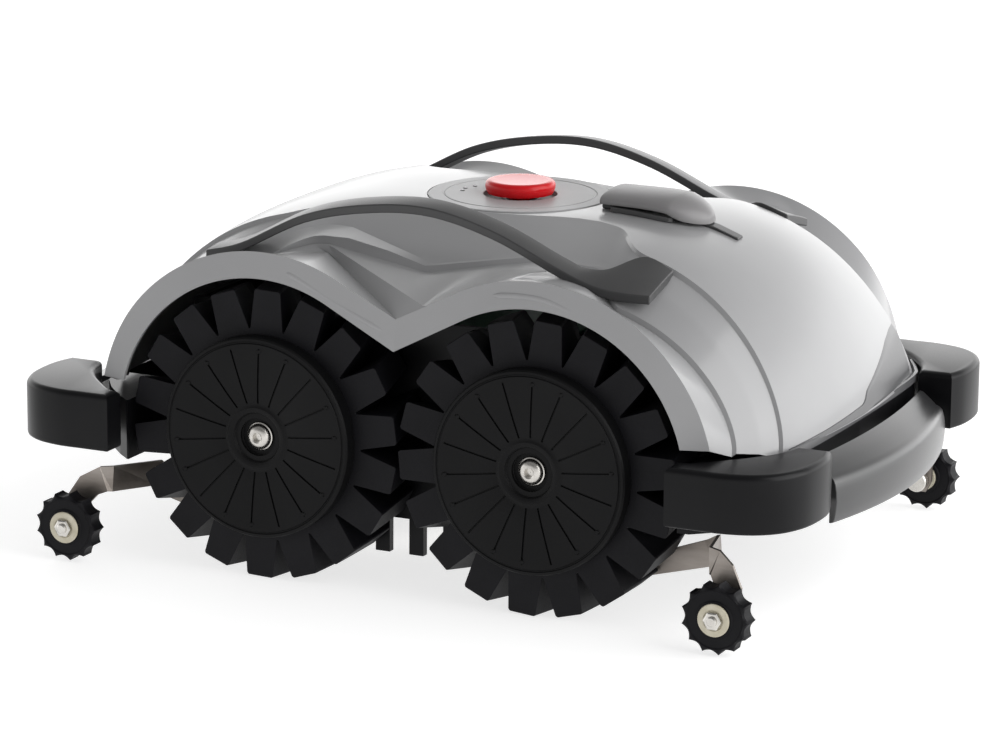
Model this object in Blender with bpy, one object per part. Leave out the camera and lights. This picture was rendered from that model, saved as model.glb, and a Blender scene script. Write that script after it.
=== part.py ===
"""Robotic lawn mower: domed shell on a chassis tub, four paddle drive wheels, four guide wheels on arms,
a star blade, sprung bumpers, a stop button and a hinged connector lid.

Frame: metres, +X forward, +Y left, +Z up, origin on the ground under the middle of the machine.
"""
import math

import bmesh
import bpy
from mathutils import Vector
from mathutils.bvhtree import BVHTree

MM = 0.001
GAP = 0.3 * MM                      # play between pieces that rest on each other

# Running gear
WHEEL_X = 84.5 * MM                 # half the wheelbase
WHEEL_Z = 84.2 * MM                 # drive axle height
TYRE_RADIUS = 84.2 * MM             # to the corners of the paddles
TYRE_ROOT = 62.0 * MM
TYRE_BORE = 54.0 * MM
TYRE_OUTER_Y = 146.9 * MM
TYRE_INNER_Y = 113.5 * MM
PADDLES = 18
PADDLE_HALF_WIDTH = 8.2 * MM
PADDLE_TWIST = math.radians(6.0)
PADDLE_PHASE = {1: math.radians(-5.0), -1: math.radians(-2.0)}
DISC_RADIUS = 58.0 * MM

GUIDE_X = 202.0 * MM
GUIDE_Z = 20.6 * MM
GUIDE_RADIUS = 20.0 * MM
GUIDE_TEETH = 13
GUIDE_OUTER_Y = 170.5 * MM
GUIDE_INNER_Y = 158.5 * MM
ARM_Y_INNER = 109.8 * MM
ARM_Y_OUTER = 152.0 * MM
JOGGLE_X = {1: 187.0 * MM, -1: 178.0 * MM}  # where the arm steps out past the tyre
ARM_WIDTH = 15.0 * MM
ARM_THICK = 2.0 * MM

# Shell
SKIN = 2.4 * MM
TOP_Z = 205.0 * MM                  # crown height
FLAT_X = 40.0 * MM                  # the crown is level for this far each way
LIP_Y = 152.0 * MM                  # lower edge of the fender lip
CREST_Y = 149.5 * MM                # upper crease of the fender lip
ARCH_RADIUS = 91.0 * MM
CREST_RADIUS = 106.0 * MM
V_ANGLE = math.radians(28.0)        # where the arch leaves its circle for the point between the wheels
EDGE_Z = 98.0 * MM                  # lower edge at the nose and tail
FENDER_END_Z = 107.0 * MM           # lower edge at the ends of the fender lips
FRONT_END = (222.0 * MM, 213.0 * MM, 197.0 * MM)    # x of the rails' ends: centre, shoulder, valley
REAR_END = (208.0 * MM, 202.0 * MM, 190.0 * MM)

# Keypad, stop button and connector
PANEL_X = 6.0 * MM
PANEL_RADIUS = 53.5 * MM
PANEL_TOP = 205.4 * MM
BUTTON_RADIUS = 20.5 * MM
BUTTON_BOTTOM = 205.9 * MM
BUTTON_TOP = 213.6 * MM
LID_REAR = 66.0 * MM
LID_FRONT = 127.0 * MM
LID_HALF = 19.0 * MM
LID_TOP = 215.4 * MM
BASE_HALF = 26.0 * MM
BASE_FRONT = 106.0 * MM
TONGUE_FRONT = 144.0 * MM
TONGUE_HALF = 4.8 * MM

# Bumpers
CORNER_BOTTOM = 69.0 * MM
CORNER_TOP = 102.0 * MM
BUMPER_BOTTOM = 58.0 * MM
BUMPER_EDGE = 84.0 * MM
BUMPER_INNER_TOP = 93.0 * MM
BUMPER_HALF = 88.0 * MM
REAR_INSET = 6.0 * MM               # tail deck and tail bumper sit this much closer in than at the nose

# Chassis
TUB_HALF_X = 150.0 * MM
TUB_HALF_Y = 108.0 * MM
TUB_WALL = 4.0 * MM
TUB_TOP = 150.0 * MM
FLOOR_TOP = 49.0 * MM
FLOOR_BOTTOM = 46.0 * MM
SKIRT_BOTTOM = 34.0 * MM
COMB_BOTTOM = 13.0 * MM
COMB_TEETH = 8
COMB_START = -76.0 * MM
COMB_PITCH = 21.4 * MM
COMB_TOOTH = 9.0 * MM
DECK_BOTTOM = 60.0 * MM
DECK_TOP = 95.0 * MM

# Blade
BLADE_RADIUS = 100.0 * MM
BLADE_BOTTOM = 21.0 * MM
BLADE_TOP = 23.5 * MM
SPINDLE_HOLE = 12.0 * MM
MOTOR_HOLE = 10.5 * MM


def clear_scene():
    for item in list(bpy.data.objects):
        bpy.data.objects.remove(item, do_unlink=True)


def material(name, colour, roughness, metallic=0.0):
    made = bpy.data.materials.new(name)
    made.use_nodes = True
    shader = made.node_tree.nodes["Principled BSDF"]
    shader.inputs["Base Color"].default_value = (*colour, 1.0)
    shader.inputs["Roughness"].default_value = roughness
    shader.inputs["Metallic"].default_value = metallic
    return made


def solid(name, points, faces, mat, origin=(0.0, 0.0, 0.0), smooth=30.0):
    """A closed mesh object from world points, with its origin at the given place."""
    centre = Vector(origin)
    mesh = bpy.data.meshes.new(name)
    mesh.from_pydata([Vector(p) - centre for p in points], [], faces)
    work = bmesh.new()
    work.from_mesh(mesh)
    bmesh.ops.remove_doubles(work, verts=work.verts, dist=1e-6)
    bmesh.ops.recalc_face_normals(work, faces=work.faces)
    work.to_mesh(mesh)
    work.free()
    mesh.shade_smooth()
    mesh.set_sharp_from_angle(angle=math.radians(smooth))
    made = bpy.data.objects.new(name, mesh)
    made.location = centre
    bpy.context.scene.collection.objects.link(made)
    mesh.materials.append(mat)
    return made


def guide(name, points, faces):
    """A cutter, or an operand that is joined to a piece."""
    made = solid(name, points, faces, MATERIALS["construction"])
    made.hide_render = True
    made.display_type = "WIRE"
    return made


def combine(target, tool, operation):
    step = target.modifiers.new(operation.lower(), "BOOLEAN")
    step.operation = operation
    step.object = tool
    step.solver = "EXACT"


def loft(rings, closed_ends=True):
    """Points and faces of a skin over equal closed rings of points."""
    count = len(rings[0])
    points = [p for ring in rings for p in ring]
    faces = []
    for row in range(len(rings) - 1):
        for k in range(count):
            after = (k + 1) % count
            here, there = row * count, (row + 1) * count
            faces.append((here + k, here + after, there + after, there + k))
    if closed_ends:
        last = (len(rings) - 1) * count
        faces.append(tuple(range(count)))
        faces.append(tuple(range(last, last + count)))
    return points, faces


def turned(profile, centre, axis, segments=32):
    """Points and faces of a closed (radius, height) profile turned about an axis through centre."""
    rings = []
    for step in range(segments):
        turn = math.tau * step / segments
        ring = []
        for radius, height in profile:
            across, up = radius * math.cos(turn), radius * math.sin(turn)
            if axis == "Y":
                ring.append((centre[0] + across, centre[1] + height, centre[2] + up))
            else:
                ring.append((centre[0] + across, centre[1] + up, centre[2] + height))
        rings.append(ring)
    rings.append(rings[0])
    return loft(rings, closed_ends=False)


def extruded(outline, bottom, top):
    """Points and faces of a plan outline between two heights."""
    return loft([[(x, y, bottom) for x, y in outline], [(x, y, top) for x, y in outline]])


def box(low, high):
    corners = [(low[0], low[1]), (high[0], low[1]), (high[0], high[1]), (low[0], high[1])]
    return extruded(corners, low[2], high[2])


def merged(parts):
    """One point and face list from several."""
    points, faces = [], []
    for some_points, some_faces in parts:
        shift = len(points)
        points += some_points
        faces += [tuple(k + shift for k in face) for face in some_faces]
    return points, faces


def rod(centre, axis, radius, low, high, segments=16):
    """A plain cylinder from low to high along its axis."""
    ring = []
    for step in range(segments):
        turn = math.tau * (step + 0.5) / segments
        ring.append((radius * math.cos(turn), radius * math.sin(turn)))
    if axis == "Y":
        rings = [[(centre[0] + a, centre[1] + h, centre[2] + b) for a, b in ring] for h in (low, high)]
    else:
        rings = [[(centre[0] + a, centre[1] + b, centre[2] + h) for a, b in ring] for h in (low, high)]
    return loft(rings)


def blend(low, high, share):
    return low + (high - low) * share


def smoothstep(value, low, high):
    share = min(max((value - low) / (high - low), 0.0), 1.0)
    return share * share * (3.0 - 2.0 * share)


def curve_through(points, steps):
    """Catmull-Rom points through the given points, which may have any number of values each."""
    result = []
    ends = [points[0]] + list(points) + [points[-1]]
    for k in range(len(points) - 1):
        a, b, c, d = ends[k:k + 4]
        for step in range(steps):
            t = step / steps
            result.append(tuple(
                0.5 * (2 * q + (r - p) * t + (2 * p - 5 * q + 4 * r - s) * t * t
                       + (3 * q - p - 3 * r + s) * t ** 3)
                for p, q, r, s in zip(a, b, c, d)))
    result.append(tuple(points[-1]))
    return result


# ---------------------------------------------------------------- shell surface

def crown_height(x, end_x, top, end_z):
    """Height of a rail that runs level over the middle and falls to its end like a superellipse."""
    share = min(max((abs(x) - FLAT_X) / (end_x - FLAT_X), 0.0), 1.0)
    return end_z + (top - end_z) * (1.0 - share ** 3) ** (2.0 / 3.0)


def crown_rail(f, end_x, top, end_z, half_middle, half_end):
    """Point of a rail at fraction f of the way from the middle (0) to the end (1)."""
    reach = math.sin(f * math.pi / 2) ** 0.86
    x = end_x * reach
    return x, blend(half_middle, half_end, f ** 2), crown_height(x, end_x, top, end_z)


def arch_rail(f, radius, v_height, end_z, y, y_end):
    """Point of a wheel-arch line: straight from the point between the wheels, then round the wheel."""
    leave = (WHEEL_X - radius * math.sin(V_ANGLE), WHEEL_Z + radius * math.cos(V_ANGLE))
    straight = math.hypot(leave[0], leave[1] - v_height)
    end_angle = math.acos((end_z - WHEEL_Z) / radius)
    total = straight + radius * (V_ANGLE + end_angle)
    along = f * total
    if along < straight:
        x = leave[0] * along / straight
        z = blend(v_height, leave[1], along / straight)
    else:
        turn = (along - straight) / radius - V_ANGLE
        x = WHEEL_X + radius * math.sin(turn)
        z = WHEEL_Z + radius * math.cos(turn)
    return x, blend(y, y_end, smoothstep(f, 0.75, 1.0)), z


def shell_section(f, ends, inset):
    """Points across one half of the shell, from the centre line to the lip, at fraction f of the length."""
    centre = crown_rail(f, ends[0] - inset, TOP_Z - inset, EDGE_Z, 0.0, 0.0)
    shoulder = crown_rail(f, ends[1] - inset, TOP_Z - 3.0 * MM - inset, EDGE_Z, 76.0 * MM, 104.0 * MM - inset)
    valley = crown_rail(f, ends[2] - inset, 181.0 * MM - inset, 103.0 * MM, 117.0 * MM, 131.0 * MM - inset)
    crest = arch_rail(f, CREST_RADIUS - inset, 160.0 * MM - inset, FENDER_END_Z, CREST_Y - inset,
                      147.0 * MM - inset)
    lip = arch_rail(f, ARCH_RADIUS, 142.5 * MM, FENDER_END_Z, LIP_Y - inset, LIP_Y - inset)
    points = []
    for share in (0.0, 0.42, 0.75):
        x, y = blend(centre[0], shoulder[0], share ** 2), blend(centre[1], shoulder[1], share)
        points.append((x, y, blend(centre[2], shoulder[2], share ** 2.5)))
    points.append(shoulder)
    points.append(tuple(blend(a, b, 0.55) for a, b in zip(shoulder, valley)))
    points.append(valley)
    back = tuple(blend(a, b, 0.86) for a, b in zip(valley, crest))
    points.append(tuple(blend(a, b, 0.5) for a, b in zip(valley, back)))
    points.append(back)
    points.append(crest)
    points.append(lip)
    return points


def shell_rows(inset, steps=14):
    """Rows of points across the whole shell, from the tail to the nose."""
    rows = []
    for step in range(-steps, steps + 1):
        f = abs(step) / steps
        ends, way = (FRONT_END, 1.0) if step >= 0 else (REAR_END, -1.0)
        half = shell_section(f, ends, inset)
        left = [(way * x, y, z) for x, y, z in half]
        right = [(x, -y, z) for x, y, z in reversed(left[1:])]
        rows.append(right + left)
    return rows


def surface_finder():
    """Height of the shell's outside over a plan point."""
    rows = shell_rows(0.0)
    count = len(rows[0])
    faces = []
    for r in range(len(rows) - 1):
        for k in range(count - 1):
            a, b = r * count + k, (r + 1) * count + k
            faces.append((a, a + 1, b + 1, b))
    tree = BVHTree.FromPolygons([Vector(p) for row in rows for p in row], faces)

    def height(x, y):
        spot = tree.ray_cast(Vector((x, y, 1.0)), Vector((0, 0, -1)))[0]
        return spot.z if spot else 0.0
    return height


def make_shell():
    outer, inner = shell_rows(0.0), shell_rows(SKIN)
    count = len(outer[0])
    points = [p for row in outer for p in row] + [p for row in inner for p in row]
    half = len(outer) * count
    faces = []
    for r in range(len(outer) - 1):
        for k in range(count - 1):
            a, b = r * count + k, (r + 1) * count + k
            faces.append((a, a + 1, b + 1, b))
            faces.append((half + a, half + b, half + b + 1, half + a + 1))
        for k in (0, count - 1):
            a, b = r * count + k, (r + 1) * count + k
            faces.append((a, b, half + b, half + a))
    for r in (0, len(outer) - 1):
        for k in range(count - 1):
            a = r * count + k
            faces.append((a, a + 1, half + a + 1, half + a))
    shell = solid("shell", points, faces, MATERIALS["silver_plastic"])
    cut = guide("keypad_opening", *rod((PANEL_X, 0, 0), "Z", PANEL_RADIUS + 0.7 * MM, 190 * MM, 220 * MM, 40))
    combine(shell, cut, "DIFFERENCE")
    return shell


# ---------------------------------------------------------------- top pieces

def make_handle(name, side):
    """A flat arched strap that lies on the shell at both feet; the front foot widens inboard."""
    stations = curve_through([
        (-137.0, 180.0, 101.0, 2.0), (-114.0, 186.7, 102.3, 2.2), (-74.0, 206.6, 102.3, 2.2),
        (-35.0, 215.9, 102.3, 2.2), (4.5, 217.8, 102.3, 2.2), (44.0, 208.6, 102.3, 2.2),
        (83.0, 191.8, 102.3, 2.2), (104.0, 184.0, 101.0, 2.6), (121.0, 181.6, 84.0, 7.0),
        (139.0, 181.6, 85.0, 3.0)], 3)
    thick, least = 5.0 * MM, 3.0 * MM
    rings = []
    for x, outer_top, inner, rise in stations:
        tops, bottoms = [], []
        for share in (0.0, 0.5, 1.0):
            y = blend(118.0, inner, share) * MM
            top = (outer_top + rise * share) * MM
            bottom = max(top - thick, surface(x * MM, y) + 2 * GAP)
            tops.append((x * MM, side * y, max(top, bottom + least)))
            bottoms.append((x * MM, side * y, bottom))
        rings.append(tops + bottoms[::-1])
    return solid(name, *loft(rings), MATERIALS["dark_plastic"])


def make_keypad():
    profile = [(7.0, 201.0), (7.0, 202.4), (21.5, 202.4), (21.5, PANEL_TOP / MM), (PANEL_RADIUS / MM, PANEL_TOP / MM),
               (PANEL_RADIUS / MM, 201.0)]
    profile = [(r * MM, z * MM) for r, z in profile]
    return solid("keypad_panel", *turned(profile, (PANEL_X, 0, 0), "Z", 32), MATERIALS["grey_plastic"])


def make_stop_button():
    """Mushroom button with a hollow for its spring and a stem through the keypad."""
    bottom, top = BUTTON_BOTTOM / MM, BUTTON_TOP / MM
    widest = BUTTON_RADIUS / MM
    profile = [(0.0, top), (14.0, top - 0.4), (widest - 1.0, top - 2.2), (widest, top - 4.6), (19.2, bottom),
               (13.0, bottom), (13.0, top - 3.2), (6.5, top - 3.2), (6.5, 194.0), (0.0, 194.0)]
    profile = [(r * MM, z * MM) for r, z in profile]
    points, faces = turned(profile, (PANEL_X, 0, 0), "Z", 24)
    return solid("stop_button", points, faces, MATERIALS["red_plastic"], (PANEL_X, 0, BUTTON_BOTTOM))


def make_button_spring():
    """Coil round the stem, between the keypad's recess and the underside of the button."""
    turns, per_turn, radius, wire = 3.5, 10, 10.0 * MM, 0.5 * MM
    low, high = 203.2 * MM, 209.6 * MM
    rings = []
    for step in range(int(turns * per_turn) + 1):
        angle = math.tau * step / per_turn
        height = blend(low, high, step / (turns * per_turn))
        out = Vector((math.cos(angle), math.sin(angle), 0.0))
        centre = Vector((PANEL_X, 0, height)) + out * radius
        ring = []
        for corner in range(4):
            turn = math.tau * corner / 4
            ring.append(centre + out * wire * math.cos(turn) + Vector((0, 0, wire * math.sin(turn))))
        rings.append(ring)
    return solid("button_spring", *loft(rings), MATERIALS["spring_steel"])


def draped(stations, gap):
    """A block whose underside follows the shell: stations of x, half width, top height."""
    rings = []
    for x, half, top in stations:
        low, edge = surface(x, 0) + gap, surface(x, half) + gap
        shoulder = top - 1.2 * MM
        rings.append([(x, -half, edge), (x, 0, low), (x, half, edge), (x, half, shoulder),
                      (x, half * 0.8, top), (x, 0, top + 0.3 * MM), (x, -half * 0.8, top), (x, -half, shoulder)])
    return loft(rings)


def make_connector_base():
    stations = []
    for share in (0.0, 0.25, 0.5, 0.75, 1.0):
        x = blend(64.0 * MM, BASE_FRONT, share)
        stations.append((x, BASE_HALF - 2.0 * MM * share, surface(x, 0) + 3.2 * MM))
    base = solid("connector_base", *draped(stations, 3 * GAP), MATERIALS["dark_plastic"])
    tongue = []
    for share in (0.0, 0.3, 0.6, 0.8, 1.0):
        x = blend(BASE_FRONT - 6.0 * MM, TONGUE_FRONT, share)
        tongue.append((x, TONGUE_HALF, surface(x, 0) + 1.9 * MM))
    combine(base, guide("connector_tongue", *draped(tongue, 2 * GAP)), "UNION")
    return base


def make_connector_lid():
    """Arched cap over the base: level ridge, nose bent down over the front, hinged along its rear edge."""
    rings = []
    nose_start = BASE_FRONT + 1.0 * MM
    for x in [LID_REAR, 86.0 * MM, nose_start, 111.0 * MM, 116.0 * MM, 120.5 * MM, 124.5 * MM, LID_FRONT]:
        bend = smoothstep(x, nose_start, LID_FRONT)
        under = surface(x, 0) + blend(4.2, 2.5, smoothstep(x, nose_start, 111.0 * MM)) * MM
        top = LID_TOP - 8.6 * MM * bend ** 1.4
        half = LID_HALF * (1.0 - 0.62 * bend ** 1.5)
        edge = under + 1.3 * MM
        low, high = blend(edge, top, 0.42), blend(edge, top, 0.84)
        rings.append([(x, -half, under), (x, half, under), (x, half, edge), (x, half * 0.8, low),
                      (x, half * 0.45, high), (x, 0, top), (x, -half * 0.45, high), (x, -half * 0.8, low),
                      (x, -half, edge)])
    hinge = (LID_REAR, 0.0, surface(LID_REAR, 0) + 5.0 * MM)
    return solid("connector_lid", *loft(rings), MATERIALS["dark_plastic"], hinge)


# ---------------------------------------------------------------- bumpers

def mirrored_outline(outline, end, side):
    return [(end * x * MM, side * y * MM) for x, y in outline]


def hollow_below(outline, wall, bottom, top):
    """A tray with its opening down: outer outline, and an inner one moved in by the wall."""
    count = len(outline)
    area = sum(outline[k][0] * outline[(k + 1) % count][1] - outline[(k + 1) % count][0] * outline[k][1]
               for k in range(count))
    way = 1.0 if area > 0 else -1.0
    inner = []
    for k in range(count):
        before, here, after = (Vector(outline[j % count]) for j in (k - 1, k, k + 1))
        one, two = (here - before).normalized(), (after - here).normalized()
        normal = Vector((-one.y - two.y, one.x + two.x)).normalized() * way
        spread = max(normal.dot(Vector((-one.y, one.x)) * way), 0.5)
        inner.append(tuple(here + normal * wall / spread))
    rings = [[(x, y, bottom) for x, y in inner], [(x, y, top - wall) for x, y in inner]]
    points, faces = loft(rings, closed_ends=False)
    faces.append(tuple(range(count, 2 * count)))
    shift = len(points)
    outer_points, outer_faces = loft([[(x, y, bottom) for x, y in outline], [(x, y, top) for x, y in outline]],
                                     closed_ends=False)
    outer_faces.append(tuple(range(count, 2 * count)))
    points += outer_points
    faces += [tuple(k + shift for k in face) for face in outer_faces]
    for k in range(count):
        after = (k + 1) % count
        faces.append((k, after, shift + after, shift + k))
    return points, faces


CORNER_OUTLINE = [(172.0, 171.5), (206.0, 171.5), (222.0, 167.0), (234.0, 157.0), (241.0, 143.0), (243.5, 126.0),
                  (243.0, 110.0), (239.5, 97.0), (219.0, 97.0), (214.0, 114.0), (203.0, 130.0), (189.0, 145.0),
                  (179.0, 154.5), (172.0, 156.5)]


def make_corner(name, end, side):
    outline = mirrored_outline(CORNER_OUTLINE, end, side)
    return solid(name, *hollow_below(outline, 3.0 * MM, CORNER_BOTTOM, CORNER_TOP), MATERIALS["black_plastic"])


def make_bumper(name, end):
    """Bowed bar with an upright outer face and a top that rises towards the shell, hollow below."""
    rings = []
    steps = 6
    for step in range(-steps, steps + 1):
        y = BUMPER_HALF * step / steps
        bow = (y / BUMPER_HALF) ** 2
        outer = blend(250.0, 238.0, bow) * MM
        inner = blend(229.0, 222.5, bow) * MM
        if end < 0:
            inner -= REAR_INSET
        wall = 3.0 * MM
        section = [(outer, BUMPER_BOTTOM), (outer + 1.5 * MM, BUMPER_BOTTOM + 12 * MM), (outer - 0.5 * MM, BUMPER_EDGE),
                   (inner, BUMPER_INNER_TOP), (inner, BUMPER_BOTTOM + 14 * MM),
                   (inner + wall, BUMPER_BOTTOM + 14 * MM), (inner + wall, BUMPER_INNER_TOP - 1.6 * wall),
                   (outer - wall, BUMPER_EDGE - wall), (outer - wall, BUMPER_BOTTOM)]
        rings.append([(end * x, y, z) for x, z in section])
    mid_x = end * (240.0 * MM)
    return solid(name, *loft(rings), MATERIALS["black_plastic"], (mid_x, 0.0, 75.0 * MM))


# ---------------------------------------------------------------- chassis

DECK_OUTLINE = [(171.0, 108.0), (171.0, 150.0), (178.0, 150.0), (187.0, 142.0), (201.0, 127.0), (211.5, 112.0),
                (216.0, 97.0), (218.0, 60.0), (219.0, 0.0)]


def make_chassis():
    """Open tub with a floor, a skirt along each side below it, and combs that keep fingers off the blade."""
    tub = solid("chassis", *box((-TUB_HALF_X, -TUB_HALF_Y, SKIRT_BOTTOM), (TUB_HALF_X, TUB_HALF_Y, TUB_TOP)),
                MATERIALS["black_plastic"])
    inside_x, inside_y = TUB_HALF_X - TUB_WALL, TUB_HALF_Y - TUB_WALL
    clear, skirt = 9.0 * MM, 5.0 * MM
    cuts = [box((-inside_x, -inside_y, FLOOR_TOP), (inside_x, inside_y, TUB_TOP + clear)),
            box((-TUB_HALF_X - clear, -inside_y + skirt, 0.0),
                (TUB_HALF_X + clear, inside_y - skirt, FLOOR_BOTTOM))]
    combine(tub, guide("tub_inside", *merged(cuts)), "DIFFERENCE")
    holes = []
    for end in (1, -1):
        for side in (1, -1):
            low, high = sorted((side * (TUB_HALF_Y - clear), side * (TUB_HALF_Y + skirt)))
            holes.append(rod((end * WHEEL_X, 0, WHEEL_Z), "Y", MOTOR_HOLE, low, high, 16))
    holes.append(rod((0, 0, 0), "Z", SPINDLE_HOLE, FLOOR_BOTTOM - clear, FLOOR_TOP + clear, 16))
    holes.append(box((50.0 * MM, -28.0 * MM, FLOOR_BOTTOM - clear),
                     (134.0 * MM, 28.0 * MM, FLOOR_TOP + clear)))
    combine(tub, guide("tub_holes", *merged(holes)), "DIFFERENCE")
    combs = []
    for side in (1, -1):
        low, high = sorted((side * 103.0 * MM, side * (TUB_HALF_Y - GAP)))
        for k in range(COMB_TEETH):
            x = COMB_START + k * COMB_PITCH
            combs.append(box((x, low, COMB_BOTTOM), (x + COMB_TOOTH, high, SKIRT_BOTTOM + 2.0 * MM)))
    combine(tub, guide("finger_combs", *merged(combs)), "UNION")


def make_deck(name, end):
    """Tray that closes one end of the tub and reaches out to the bumpers, open on top."""
    half = [(x * MM, y * MM) for x, y in DECK_OUTLINE]
    if end < 0:
        half = half[:2] + [(x - REAR_INSET, y) for x, y in half[2:]]
    start, wall = TUB_HALF_X + GAP, 3.0 * MM
    outline = [(start, TUB_HALF_Y)] + half + [(x, -y) for x, y in reversed(half[:-1])] + [(start, -TUB_HALF_Y)]
    deck = solid(name, *extruded([(end * x, y) for x, y in outline], DECK_BOTTOM, DECK_TOP),
                 MATERIALS["black_plastic"])
    low, high = sorted((end * (start + wall), end * (208.0 * MM)))
    hollow = box((low, -92.0 * MM, DECK_BOTTOM + wall), (high, 92.0 * MM, DECK_TOP + wall))
    combine(deck, guide(name + "_inside", *hollow), "DIFFERENCE")


def make_inner_pieces():
    plate = []
    for x, y in ((46, -28), (50, -32), (134, -32), (138, -28), (138, 28), (134, 32), (50, 32), (46, 28)):
        plate.append((x * MM, y * MM))
    solid("battery_cover", *extruded(plate, 42.6 * MM, FLOOR_BOTTOM - GAP), MATERIALS["black_plastic"])
    solid("battery", *box((40 * MM, -26 * MM, 49.6 * MM), (142 * MM, 26 * MM, 100 * MM)), MATERIALS["blue_wrap"])
    solid("control_board", *box((-70 * MM, -60 * MM, 128 * MM), (50 * MM, 60 * MM, 130 * MM)),
          MATERIALS["board_green"])


# ---------------------------------------------------------------- drive wheels

def tyre_rings(end, side):
    """Two closed outlines of the tyre, outer and inner edge, each with its matching bore points."""
    tip = math.asin(PADDLE_HALF_WIDTH / TYRE_RADIUS)
    pitch = math.tau / PADDLES
    outlines = []
    for y, twist in ((TYRE_OUTER_Y, 0.0), (TYRE_INNER_Y, PADDLE_TWIST)):
        rim, bore = [], []
        for k in range(PADDLES):
            centre = -math.pi / 2 + PADDLE_PHASE[end] + k * pitch
            for radius, turn in ((TYRE_ROOT, -pitch / 2), (TYRE_RADIUS, twist - tip), (TYRE_RADIUS, twist + tip)):
                angle = centre + turn
                rim.append((end * WHEEL_X + radius * math.cos(angle), side * y, WHEEL_Z + radius * math.sin(angle)))
                even = centre + {0: -pitch / 2, 1: -pitch / 6, 2: pitch / 6}[len(bore) % 3]
                bore.append((end * WHEEL_X + TYRE_BORE * math.cos(even), side * y,
                             WHEEL_Z + TYRE_BORE * math.sin(even)))
        outlines.append((rim, bore))
    return outlines


def make_drive_wheel(place, end, side):
    hub = (end * WHEEL_X, 0.0, WHEEL_Z)
    origin = (end * WHEEL_X, side * 130.0 * MM, WHEEL_Z)
    (outer_rim, outer_bore), (inner_rim, inner_bore) = tyre_rings(end, side)
    points, faces = loft([outer_bore, outer_rim, inner_rim, inner_bore, outer_bore], closed_ends=False)
    solid("tyre_" + place, points, faces, MATERIALS["rubber"], origin)

    cover = DISC_RADIUS / MM
    disc = [(4.1, 149.9), (10.2, 149.9), (15.0, 155.6), (cover - 1.5, 157.2), (cover, 155.6), (cover, 147.2),
            (53.7, 147.2), (53.7, 114.0), (50.7, 114.0), (50.7, 152.0), (11.0, 152.0), (11.0, 119.0),
            (6.3, 119.0), (6.3, 140.3), (4.1, 140.3)]
    axle = [(0.0, 80.3), (6.0, 80.3), (6.0, 140.0), (4.1, 140.0), (4.1, 128.0), (0.0, 128.0)]
    bolt = [(0.0, 128.6), (3.8, 128.6), (3.8, 150.2), (8.0, 150.2), (8.0, 152.4), (6.0, 155.0), (0.0, 155.6)]
    motor = [(0.0, 36.0), (17.5, 36.0), (17.5, 62.0), (21.0, 62.0), (21.0, 94.0), (9.5, 94.0), (9.5, 110.0),
             (6.3, 110.0), (6.3, 79.0), (0.0, 79.0)]
    for name, profile, slot, segments, where in (
            ("wheel_disc_", disc, "black_plastic", 24, origin), ("axle_", axle, "steel", 10, origin),
            ("wheel_bolt_", bolt, "steel", 10, origin), ("gearmotor_", motor, "motor_steel", 14, (0, 0, 0))):
        shape = [(r * MM, side * y * MM) for r, y in profile]
        solid(name + place, *turned(shape, hub, "Y", segments), MATERIALS[slot], where)


# ---------------------------------------------------------------- guide wheels

def make_guide(place, end, side):
    hub = (end * GUIDE_X, 0.0, GUIDE_Z)
    origin = (end * GUIDE_X, side * 164.5 * MM, GUIDE_Z)
    rings = []
    tooth = (GUIDE_RADIUS, GUIDE_RADIUS, GUIDE_RADIUS - 2.6 * MM)
    for y in (GUIDE_OUTER_Y, GUIDE_INNER_Y):
        rim, bore = [], []
        for k in range(GUIDE_TEETH * len(tooth)):
            angle = math.tau * k / (GUIDE_TEETH * len(tooth))
            radius = tooth[k % len(tooth)]
            rim.append((hub[0] + radius * math.cos(angle), side * y, hub[2] + radius * math.sin(angle)))
            bore.append((hub[0] + 8.3 * MM * math.cos(angle), side * y, hub[2] + 8.3 * MM * math.sin(angle)))
        rings.append((rim, bore))
    (outer_rim, outer_bore), (inner_rim, inner_bore) = rings
    points, faces = loft([outer_bore, outer_rim, inner_rim, inner_bore, outer_bore], closed_ends=False)
    solid("guide_wheel_" + place, points, faces, MATERIALS["rubber"], origin)

    bush = [(3.3, 156.6), (8.0, 156.6), (8.0, 170.8), (9.2, 170.8), (9.2, 171.8), (3.3, 171.8)]
    axle = [(0.0, 145.5), (6.4, 145.5), (6.4, 150.7), (3.0, 150.7), (3.0, 172.1), (5.4, 172.1),
            (5.4, 173.6), (0.0, 175.2)]
    for name, profile, slot, segments, where in (
            ("guide_bush_", bush, "bush_nylon", 12, origin), ("guide_axle_", axle, "steel", 8, origin)):
        shape = [(r * MM, side * y * MM) for r, y in profile]
        solid(name + place, *turned(shape, hub, "Y", segments), MATERIALS[slot], where)
    make_guide_arm(place, end, side)


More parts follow.
